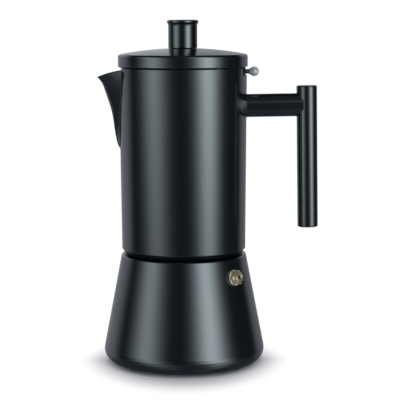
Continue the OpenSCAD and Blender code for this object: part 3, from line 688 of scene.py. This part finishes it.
# %% Lever
LEVER_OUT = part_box("thumb_lever")[1][0] / MM
BALL_D = (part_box("thumb_lever")[1][2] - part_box("thumb_lever")[0][2]) / MM
# The finish changes from this far before the ball to this far into it
BALL_BEFORE = 0.4
BALL_INTO = 0.2
# Fine scuffs about 0.6 mm apart and 0.006 mm deep
SCUFF_SCALE = 1.6
SCUFF_DEPTH = 0.006
ROD_ROUGH = (0.12, 0.18)
BALL_ROUGH = (0.34, 0.46)
# Painted sheen: the ball is only partly metal, so its pale base colour shows as a soft light grey
BALL_SHEEN_METAL = 0.42
LEVER_LIGHT = linear("#DFE0E2")
LEVER_DARK = linear("#A6A9AD")


def lever_steel(name, ball_from):
    material, tree, shader, place = new_finish(name)
    along = add(tree, "ShaderNodeSeparateXYZ", {0: place}).outputs["X"]
    ball = spread(tree, along, 0.0, 1.0, ball_from - BALL_BEFORE, ball_from + BALL_INTO)
    scuffs = noise(tree, place, SCUFF_SCALE, detail=4.0)
    rough = blend_value(tree, ball, spread(tree, scuffs, *ROD_ROUGH), spread(tree, scuffs, *BALL_ROUGH))
    colour = blend_colour(tree, spread(tree, scuffs, 0.0, 1.0, 0.40, 0.60), LEVER_LIGHT, LEVER_DARK)
    plug(tree, shader, {
        "Base Color": colour, "Metallic": blend_value(tree, ball, 1.0, BALL_SHEEN_METAL), "Roughness": rough,
        "Normal": bumped(tree, scuffs, SCUFF_DEPTH)})
    return material


# A bright mirror on the rod that turns into a soft, pale painted sheen on the ball
polished_steel = lever_steel("polished_steel", LEVER_OUT - BALL_D)
print("lever's ball", round(BALL_D, 1), "mm across, out to", round(LEVER_OUT, 1), "mm")

# %% [markdown]
# ## Finish: the brass of the valve
# The safety valve is turned from pale brass, which soon goes brown and cloudy
# in steam. Plain yellow metal would look new, so a cloud of darker brass lies
# over it. One function makes three grades: the tarnished body, the bright
# turned rings, and a dark brown plug.

# %% Brass
BRASS_LIGHT = linear("#EFE6C8")
BRASS_DARK = linear("#B3A16A")
PLUG_LIGHT = linear("#4A4230")
PLUG_DARK = linear("#2A251B")
# Tarnish in patches about 2 mm across; only the strongest part of the cloud is dark
TARNISH_SCALE = 0.45
TARNISH_FROM, TARNISH_FULL = 0.45, 0.75
# Fine tool marks about 0.2 mm across and 0.004 mm deep
MARK_SCALE = 6.0
MARK_DEPTH = 0.004
BRASS_METAL = 0.88


def pale_brass(name, rough_low, rough_high, light=BRASS_LIGHT, dark=BRASS_DARK):
    material, tree, shader, place = new_finish(name)
    cloud = noise(tree, place, TARNISH_SCALE, detail=4.0)
    marks = noise(tree, place, MARK_SCALE, detail=2.0)
    colour = blend_colour(tree, spread(tree, cloud, 0.0, 1.0, TARNISH_FROM, TARNISH_FULL), light, dark)
    plug(tree, shader, {
        "Base Color": colour, "Metallic": BRASS_METAL, "Normal": bumped(tree, marks, MARK_DEPTH),
        "Roughness": spread(tree, cloud, rough_low, rough_high)})
    return material


# Pale yellow metal with a soft, cloudy shine
turned_brass = pale_brass("turned_brass", 0.42, 0.52)
# The same brass where the turning tool left it bright, with crisp glints
bright_brass = pale_brass("bright_brass", 0.18, 0.26)
# Dark brown and nearly matt, for the plug in the valve's outlet
dark_brass = pale_brass("dark_brass", 0.5, 0.6, PLUG_LIGHT, PLUG_DARK)
print("brasses:", [material.name for material in (turned_brass, bright_brass, dark_brass)])

# %% [markdown]
# ## Finish: the silicone seals
# The gasket and the valve's washer are white food-grade silicone with a dry
# skin, which light enters a little. A plain matt white would look like chalk,
# so a weak subsurface glow goes with a blotchy skin.

# %% Silicone
SILICONE_LIGHT = linear("#DEDBD0")
SILICONE_DARK = linear("#C9C4B4")
# Blotches about 2 mm across and 0.01 mm deep
DUST_SCALE = 0.5
DUST_DEPTH = 0.01
SILICONE_ROUGH = (0.55, 0.7)
GLOW_SHARE = 0.1
GLOW_REACH = 1.5


def white_silicone(name):
    material, tree, shader, place = new_finish(name)
    dust = noise(tree, place, DUST_SCALE, detail=4.0)
    colour = blend_colour(tree, spread(tree, dust, 0.0, 0.6), SILICONE_LIGHT, SILICONE_DARK)
    plug(tree, shader, {
        "Base Color": colour, "Roughness": spread(tree, dust, *SILICONE_ROUGH),
        "Normal": bumped(tree, dust, DUST_DEPTH),
        "Subsurface Weight": GLOW_SHARE, "Subsurface Scale": GLOW_REACH * MM})
    return material


# Off-white and dry, with a faint waxy depth
silicone = white_silicone("silicone")
print(silicone.name, "lets light in by about", GLOW_REACH, "mm")

# %% [markdown]
# ## The finishes on the solids
# Each solid gets one finish. The list goes by finish and not by piece, as in a
# workshop: what is sprayed together looks the same.

# %% Finishes on the solids
FINISHES = {
    boiler_enamel: ["boiler"],
    black_enamel_steel_inside: ["collector_shell"],
    gap_shade_enamel: ["lid_ring", "threaded_collar"],
    lid_enamel: ["lid_shell"],
    black_enamel: ["spout", "handle_bar", "handle_grip", "grip_caps", "knob", "hinge_bracket"],
    brushed_steel: ["funnel", "funnel_plate", "filter_plate", "collector_floor", "riser_column", "column_cap",
                    "knob_screw", "lid_arm", "valve_spring"],
    polished_steel: ["thumb_lever", "hinge_pin"],
    turned_brass: ["valve_body", "valve_nut", "valve_seat"],
    dark_brass: ["valve_poppet"],
    silicone: ["gasket", "valve_washer"],
}
for material, names in FINISHES.items():
    for name in names:
        nodes[name].data.materials[0] = material
print("finished nodes:", sum(len(names) for names in FINISHES.values()), "of", len(nodes))

# %% [markdown]
# ## How the added pieces are made
# Threads, weld seams and perforated plates follow simple rules: a ridge runs
# along a spiral, a bead along the line where two sheets meet, and holes sit on
# a grid. Geometry Nodes suit such rules better than modelling point by point,
# because the sizes stay as named inputs.

# %% Geometry Nodes helpers
def new_tree(name, sizes, with_mesh=False):
    tree = bpy.data.node_groups.new(name, "GeometryNodeTree")
    if with_mesh:
        tree.interface.new_socket("Line", in_out="INPUT", socket_type="NodeSocketGeometry")
    for size in sizes:
        tree.interface.new_socket(size, in_out="INPUT", socket_type="NodeSocketFloat")
    tree.interface.new_socket("Piece", in_out="OUTPUT", socket_type="NodeSocketGeometry")
    return tree, add(tree, "NodeGroupInput").outputs


def finish_tree(tree, geometry, material):
    real = made(tree, "GeometryNodeRealizeInstances", {"Geometry": geometry})
    dressed = made(tree, "GeometryNodeSetMaterial", {"Geometry": real, "Material": material})
    add(tree, "NodeGroupOutput", {"Piece": dressed})
    print("rule", tree.name, "has", len(tree.nodes), "nodes")


def ring_section(tree, steps, radius):
    return made(tree, "GeometryNodeCurvePrimitiveCircle", {"Resolution": steps, "Radius": radius})


def swept(tree, curve, section):
    return made(tree, "GeometryNodeCurveToMesh", {
        "Curve": curve, "Profile Curve": section, "Fill Caps": True})


def raised_to(tree, geometry, height):
    lift = made(tree, "ShaderNodeCombineXYZ", {"Z": height})
    return made(tree, "GeometryNodeTransform", {"Geometry": geometry, "Translation": lift})


print("rules are made in metres, and one millimetre is", MM)

# %% [markdown]
# ## From a rule to a piece
# An empty mesh or a line is the start, the rule runs on it as a modifier with
# its sizes, and the result is kept as a mesh. An operator could apply the
# modifier too, but operators depend on what is selected.

# %% Growing a piece
def start_mesh(name, line):
    mesh = bpy.data.meshes.new(name)
    if line is not None:
        closed, points = line
        count = len(points)
        edges = [(i, (i + 1) % count) for i in range(count if closed else count - 1)]
        mesh.from_pydata([tuple(v * MM for v in point) for point in points], edges, [])
    return mesh


def grow(name, tree, sizes, body, line=None):
    maker = bpy.data.objects.new(name + "_maker", start_mesh(name + "_start", line))
    bpy.context.scene.collection.objects.link(maker)
    modifier = maker.modifiers.new("rule", "NODES")
    modifier.node_group = tree
    for item in tree.interface.items_tree:
        if item.in_out == "INPUT" and item.name in sizes:
            modifier[item.identifier] = float(sizes[item.name])
    graph = bpy.context.evaluated_depsgraph_get()
    mesh = bpy.data.meshes.new_from_object(maker.evaluated_get(graph), depsgraph=graph)
    maker.modifiers.remove(modifier)
    bpy.data.objects.remove(maker)
    mesh.name = name
    piece = bpy.data.objects.new(name, mesh)
    bpy.context.scene.collection.objects.link(piece)
    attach(piece, body)
    print(name, "has", len(mesh.vertices), "points and", len(mesh.polygons), "faces")
    return piece


print("pieces so far:", len(nodes))

# %% [markdown]
# ## The screw thread
# The collector screws onto the boiler's neck with a coarse right-hand thread.
# It could be cut with a sharp profile, but threads in thin sheet are rolled and
# round. So each side is a tube on a spiral that is mostly sunk into its wall:
# only its crest stands proud, and it thins out at both ends.

# %% Thread tree
TURN_STEPS = 72
RIDGE_STEPS = 10
# Over this share of its length the ridge thins out, down to this thickness
RUN_OUT = 0.04
RUN_OUT_THIN = 0.05


def thread_tree(material):
    tree, size = new_tree("screw_thread", ["Radius", "Pitch", "Turns", "Bottom", "Ridge Radius"])
    rise = product(tree, size["Pitch"], size["Turns"])
    spiral = made(tree, "GeometryNodeCurveSpiral", {
        "Resolution": TURN_STEPS, "Rotations": size["Turns"], "Start Radius": size["Radius"],
        "End Radius": size["Radius"], "Height": rise, "Reverse": False})
    along = add(tree, "GeometryNodeSplineParameter").outputs["Factor"]
    to_end = math_of(tree, "MINIMUM", along, math_of(tree, "SUBTRACT", 1.0, along))
    taper = smooth_step(tree, to_end, 0.0, RUN_OUT, RUN_OUT_THIN, 1.0)
    tapered = made(tree, "GeometryNodeSetCurveRadius", {"Curve": spiral, "Radius": taper})
    ridge = swept(tree, tapered, ring_section(tree, RIDGE_STEPS, size["Ridge Radius"]))
    placed = raised_to(tree, ridge, size["Bottom"])
    smooth = made(tree, "GeometryNodeSetShadeSmooth", {"Geometry": placed})
    finish_tree(tree, smooth, material)
    return tree


thread = thread_tree(brushed_steel)

# %% [markdown]
# ## The two ridges
# The ridges on the neck and in the collar have the same pitch and lie half a
# pitch apart, as on a real thread. Their radii come from the two walls.

# %% Threads
THREAD_PITCH = 3.0
RIDGE_R = 0.75
RIDGE_PROUD = 0.18
THREAD_DOWN = 7.5
# Name, radius of the spiral, number of turns, how much higher it starts, and body
THREADS = (
    ("neck_thread", NECK_R - RIDGE_R + RIDGE_PROUD, 2.3, 0.0, "boiler"),
    ("collar_thread", COLLAR_IN_R + RIDGE_R - RIDGE_PROUD, 1.9, THREAD_PITCH / 2, "collector"))

for name, ridge_r, turns, higher, body in THREADS:
    grow(name, thread, {
        "Radius": ridge_r * MM, "Pitch": THREAD_PITCH * MM, "Turns": turns,
        "Bottom": (NECK_Z - THREAD_DOWN + higher) * MM, "Ridge Radius": RIDGE_R * MM}, body)
thread_room = COLLAR_IN_R - NECK_R - 2 * RIDGE_PROUD
print("radial room between the two threads:", round(thread_room, 3), "mm")

# %% [markdown]
# ## The perforated plates
# Coffee passes through two thin steel plates with many small holes: one at
# the bottom of the basket and one above the coffee. The solids carry a coarse
# pattern, and here each plate gets a finer one. Cutting every hole out of a
# disc would be slow, so points on a hexagonal grid become circles, and the
# circles and the rim are filled as one flat face with holes.

# %% Holes of a plate
HOLE_STEPS = 10


def hole_field(tree, size):
    pitch, field = size["Pitch"], size["Field Radius"]
    across = math_of(tree, "CEIL", math_of(tree, "DIVIDE", field, pitch))
    # The grid is a few points larger than the field, and the surplus is deleted below
    columns = math_of(tree, "MULTIPLY_ADD", across, 2.0, 5.0)
    row_step = product(tree, pitch, math.sqrt(3) / 2)
    along = math_of(tree, "CEIL", math_of(tree, "DIVIDE", field, row_step))
    rows = math_of(tree, "MULTIPLY_ADD", along, 2.0, 3.0)
    wide = product(tree, math_of(tree, "SUBTRACT", columns, 1.0), pitch)
    deep = product(tree, math_of(tree, "SUBTRACT", rows, 1.0), row_step)
    grid = made(tree, "GeometryNodeMeshGrid", {
        "Size X": wide, "Size Y": deep, "Vertices X": columns, "Vertices Y": rows})
    # Every second row is moved by half a pitch
    place = made(tree, "GeometryNodeInputPosition")
    y = add(tree, "ShaderNodeSeparateXYZ", {0: place}).outputs["Y"]
    odd = math_of(tree, "PINGPONG", math_of(tree, "ROUND", math_of(tree, "DIVIDE", y, row_step)), 1.0)
    shift = made(tree, "ShaderNodeCombineXYZ", {"X": product(tree, odd, product(tree, pitch, 0.5))})
    staggered = made(tree, "GeometryNodeSetPosition", {"Geometry": grid, "Offset": shift})
    reach = length_of(tree, place)
    outside = made(tree, "FunctionNodeCompare", {"A": reach, "B": field}, operation="GREATER_THAN")
    kept = made(tree, "GeometryNodeDeleteGeometry", {
        "Geometry": staggered, "Selection": outside}, domain="POINT")
    points = made(tree, "GeometryNodeMeshToPoints", {"Mesh": kept})
    hole = ring_section(tree, HOLE_STEPS, size["Hole Radius"])
    holes = made(tree, "GeometryNodeInstanceOnPoints", {"Points": points, "Instance": hole})
    return made(tree, "GeometryNodeRealizeInstances", {"Geometry": holes})


print("each hole is a circle of", HOLE_STEPS, "steps")

# %% [markdown]
# ## From holes to a plate
# The filled face is drawn out by the sheet's thickness. That leaves no
# underside, so the first face is turned over and joined to it, and points in
# the same place are merged. The plate is then closed.

# %% Perforated plate tree
RIM_STEPS = 128
SAME_PLACE = 0.01


def joined(tree, first, second):
    both = add(tree, "GeometryNodeJoinGeometry", {"Geometry": first})
    tree.links.new(second, both.inputs["Geometry"])
    return both.outputs[0]


def plate_tree(material):
    tree, size = new_tree("perforated_plate", [
        "Plate Radius", "Bottom", "Thickness", "Hole Radius", "Pitch", "Field Radius"])
    holes = hole_field(tree, size)
    outlines = joined(tree, holes, ring_section(tree, RIM_STEPS, size["Plate Radius"]))
    face = made(tree, "GeometryNodeFillCurve", {"Curve": outlines})
    up = made(tree, "ShaderNodeCombineXYZ", {"Z": 1.0})
    raised = made(tree, "GeometryNodeExtrudeMesh", {
        "Mesh": face, "Offset": up, "Offset Scale": size["Thickness"], "Individual": False})
    both = joined(tree, raised, made(tree, "GeometryNodeFlipFaces", {"Mesh": face}))
    closed = made(tree, "GeometryNodeMergeByDistance", {
        "Geometry": both, "Distance": SAME_PLACE * MM})
    finish_tree(tree, raised_to(tree, closed, size["Bottom"]), material)
    return tree


plates = plate_tree(brushed_steel)

# %% [markdown]
# ## The two plates
# Each plate takes its radius, height and thickness from its solid and stands
# in for it. Only the margin without holes is given: the upper plate has a wide
# one, because the gasket presses on it.

# %% Plates
# Real holes are about half a millimetre across and closer together. They would
# be too fine to show, so they are drawn 1 mm across and 2.4 mm apart.
HOLE_R = 0.5
HOLE_PITCH = 2.4
PLATES = (("funnel_plate", "funnel", 2.4), ("filter_plate", "filter_plate", 6.6))

for node, body, margin in PLATES:
    low, high = heights(node)
    plate_r = radii(node)[1]
    plate = grow("fine_" + node, plates, {
        "Plate Radius": plate_r * MM, "Bottom": low * MM, "Thickness": (high - low) * MM,
        "Hole Radius": HOLE_R * MM, "Pitch": HOLE_PITCH * MM, "Field Radius": (plate_r - margin) * MM},
        body)
    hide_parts(node)
    print(node, "is", round(2 * plate_r, 1), "mm across")

# %% [markdown]
# ## The spout
# The spout is one sheet, folded along a keel and welded to the wall. Its solid
# is made of flat facets, which the gloss of the coating would show. More facets
# would only make narrower bands. So a copy is merged, its triangles are joined
# into quads and it is shaded smooth, with sharp edges only where the sheet ends.

# %% Spout
# Points closer than this are one point, and shorter edges than this go
SAME_POINT = 0.002
SHORT_EDGE = 0.001
# Two triangles become a quad within these bends, and an edge above the last is sharp
FLAT_BEND = math.radians(20)
SHAPE_BEND = math.radians(60)
SHARP_BEND = math.radians(38)


def soften(mesh):
    shape = bmesh.new()
    shape.from_mesh(mesh)
    bmesh.ops.remove_doubles(shape, verts=shape.verts, dist=SAME_POINT * MM)
    bmesh.ops.dissolve_degenerate(shape, edges=shape.edges, dist=SHORT_EDGE * MM)
    bmesh.ops.join_triangles(shape, faces=shape.faces, angle_face_threshold=FLAT_BEND,
                             angle_shape_threshold=SHAPE_BEND)
    for face in shape.faces:
        face.smooth = True
    for edge in shape.edges:
        edge.smooth = edge.is_manifold and edge.calc_face_angle(0.0) < SHARP_BEND
    shape.to_mesh(mesh)
    shape.free()
    if "custom_normal" in mesh.attributes:
        mesh.attributes.remove(mesh.attributes["custom_normal"])


def smooth_copy(node, name, body, material):
    mesh = nodes[node].data.copy()
    mesh.name = name
    soften(mesh)
    mesh.materials.clear()
    mesh.materials.append(material)
    piece = bpy.data.objects.new(name, mesh)
    bpy.context.scene.collection.objects.link(piece)
    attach(piece, body)
    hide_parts(node)
    print(name, "has", len(mesh.polygons), "faces")


smooth_copy("spout", "smooth_spout", "collector", black_enamel)

# %% [markdown]
# ## Weld seams
# The spout, the handle's bar and the grip are welded and then ground, and the
# enamel runs over the seam. What is left is a fine raised line that catches
# the light. A bump in the material couldn't follow the border between two
# pieces, so a thin bead is swept along it.

# %% Bead tree
BEAD_STEPS = 8


def bead_tree(material):
    tree, size = new_tree("weld_bead", ["Bead Radius", "Step"], with_mesh=True)
    curve = made(tree, "GeometryNodeMeshToCurve", {"Mesh": size["Line"]})
    even = made(tree, "GeometryNodeResampleCurve", {
        "Curve": curve, "Length": size["Step"]}, mode="LENGTH")
    bead = swept(tree, even, ring_section(tree, BEAD_STEPS, size["Bead Radius"]))
    smooth = made(tree, "GeometryNodeSetShadeSmooth", {"Geometry": bead})
    finish_tree(tree, smooth, material)
    return tree


beads = bead_tree(black_enamel)

# %% [markdown]
# ## The collector's wall
# The border lies where a piece meets the wall, so the wall's radius is needed
# at every height. The wall is a cone, and two measured radii give all of them.

# %% Wall
WALL_TOP = RIM_Z - 6.0
WALL_TOP_R = radii("collector_shell", WALL_TOP - EDGE_BAND, WALL_TOP + EDGE_BAND)[1]
WALL_LOW = COLLECTOR_LOW + 2.0
WALL_LOW_R = radii("collector_shell", COLLECTOR_LOW, WALL_LOW)[1]


def wall_r(z):
    return WALL_LOW_R + (WALL_TOP_R - WALL_LOW_R) * (z - WALL_LOW) / (WALL_TOP - WALL_LOW)


print("wall radius", round(WALL_LOW_R, 2), "mm below and", round(WALL_TOP_R, 2), "mm above")

# %% [markdown]
# ## The seams of the bar
# The bar is an oval tube between the wall and the grip, and each seam is the
# outline of one end. It is read from the solid by looking round the tube in
# small steps and keeping the outermost point of each.

# %% Seams of the bar
LOOP_STEPS = 72
# Points nearer the middle than this share of the outline belong to the bore
OUTLINE_SHARE = 0.72
ON_WALL = 0.6
BAR_BEAD = {"Bead Radius": 0.25 * MM, "Step": 0.8 * MM}


def end_loop(node, keep):
    spots = [v.co / MM for v in nodes[node].data.vertices]
    spots = [p for p in spots if keep(p)]
    middle = (min(p.z for p in spots) + max(p.z for p in spots)) / 2
    found = {}
    for p in spots:
        turn = math.atan2(p.z - middle, p.y)
        step = int((turn + math.pi) / math.tau * LOOP_STEPS) % LOOP_STEPS
        span = math.hypot(p.y, p.z - middle)
        if step not in found or span > found[step][0]:
            found[step] = (span, p)
    outer = max(span for span, p in found.values())
    return [tuple(found[step][1]) for step in sorted(found) if found[step][0] > OUTLINE_SHARE * outer]


bar_low, bar_high = (Vector(corner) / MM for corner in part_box("handle_bar"))
bar_middle = (bar_low.x + bar_high.x) / 2
wall_seam = end_loop(
    "handle_bar", lambda p: p.x < bar_middle and math.hypot(p.x, p.y) - wall_r(p.z) < ON_WALL)
grip_seam = end_loop("handle_bar", lambda p: p.x > bar_middle)
print("seam points:", len(wall_seam), "at the wall and", len(grip_seam), "at the grip")
grow("bar_weld", beads, BAR_BEAD, "collector", (True, wall_seam))
grow("grip_weld", beads, BAR_BEAD, "collector", (True, grip_seam))

# %% [markdown]
# ## The seam of the spout
# The spout is open at the top, so its seam runs down one side of the fold and
# up the other. In each thin row of heights it is the point on the wall that is
# farthest from the fold's middle plane.

# %% Seam of the spout
NEAR_WALL = 0.12
ROW_HEIGHT = 1.2
SPOUT_BEAD = {"Bead Radius": 0.3 * MM, "Step": 1.0 * MM}


def spout_seam():
    spots = [v.co / MM for v in nodes["spout"].data.vertices]
    near = [p for p in spots if abs(math.hypot(p.x, p.y) - wall_r(p.z)) < NEAR_WALL]
    lines = []
    for side in (1, -1):
        rows = {}
        for p in near:
            if p.y * side < 0:
                continue
            row = round(p.z / ROW_HEIGHT)
            if row not in rows or abs(p.y) > abs(rows[row].y):
                rows[row] = p
        lines.append([tuple(rows[row]) for row in sorted(rows)])
    down, up = list(reversed(lines[0])), lines[1]
    return down + up


seam = spout_seam()
print("spout seam from", [round(v, 1) for v in seam[0]], "to", [round(v, 1) for v in seam[-1]],
      "in", len(seam), "points")
grow("spout_weld", beads, SPOUT_BEAD, "collector", (False, seam))

# %% [markdown]
# ## The axis of the valve
# The safety valve stands square on the sloping wall of the boiler, so its axis
# is tilted. The valve's end faces are square to that axis, so it is measured
# as their mean normal instead of being worked out from the slope.

# %% Valve axis
# Roughly the way that the valve looks: an angle round the pot and a little up
VALVE_AZIMUTH = math.radians(-41.6)
VALVE_UP = 0.2
ALONG_AXIS = 0.95
NO_WAY = Vector((0.0, 0.0, 0.0))


def valve_axis():
    outward = Vector((math.cos(VALVE_AZIMUTH), math.sin(VALVE_AZIMUTH), VALVE_UP)).normalized()
    total = NO_WAY.copy()
    for face in nodes["valve_body"].data.polygons:
        if face.normal.dot(outward) > ALONG_AXIS:
            total += face.normal * face.area
    return total.normalized()


axis = valve_axis()
across = axis.cross(Vector((0.0, 0.0, 1.0))).normalized()
upright = across.cross(axis)
print("valve's axis", [round(v, 3) for v in axis])

# %% [markdown]
# ## The valve's turned face
# The nose of the safety valve is turned on a lathe, which leaves raised rings
# round its outlet and on the hexagon's face. They could be turned as a profile,
# but the weld seams' bead, led round a circle, gives the same round rings. Each
# one catches a softbox on one side and stays dark on the other.

# %% Valve rings
FACE_DEPTH = 0.02
# Only the hexagon reaches this far from the axis
HEX_FROM = 3.5
RING_POINTS = 48
RING_BEAD = {"Bead Radius": 0.4 * MM, "Step": 0.35 * MM}
valve_spots = [v.co / MM for v in nodes["valve_body"].data.vertices]
face_out = max(p.dot(axis) for p in valve_spots)
rim_spots = [p for p in valve_spots if p.dot(axis) > face_out - FACE_DEPTH]
nose_middle = sum(rim_spots, NO_WAY) / len(rim_spots)
off_axis = [((p - nose_middle) - axis * (p - nose_middle).dot(axis), p.dot(axis)) for p in valve_spots]
hex_out = max(out for side, out in off_axis if side.length > HEX_FROM)
hex_middle = nose_middle - axis * (face_out - hex_out)


def circle_line(middle, ring_r):
    turns = [math.tau * step / RING_POINTS for step in range(RING_POINTS)]
    return True, [tuple(middle + (across * math.cos(t) + upright * math.sin(t)) * ring_r) for t in turns]


rings = bead_tree(bright_brass)
RINGS = (("valve_outlet_ring", nose_middle, 1.85), ("valve_nose_ring", nose_middle, 2.9),
         ("valve_face_ring", hex_middle, 3.95))
for name, middle, ring_r in RINGS:
    grow(name, rings, RING_BEAD, "boiler", circle_line(middle, ring_r))
print("the nose stands out by", round(face_out - hex_out, 2), "mm")
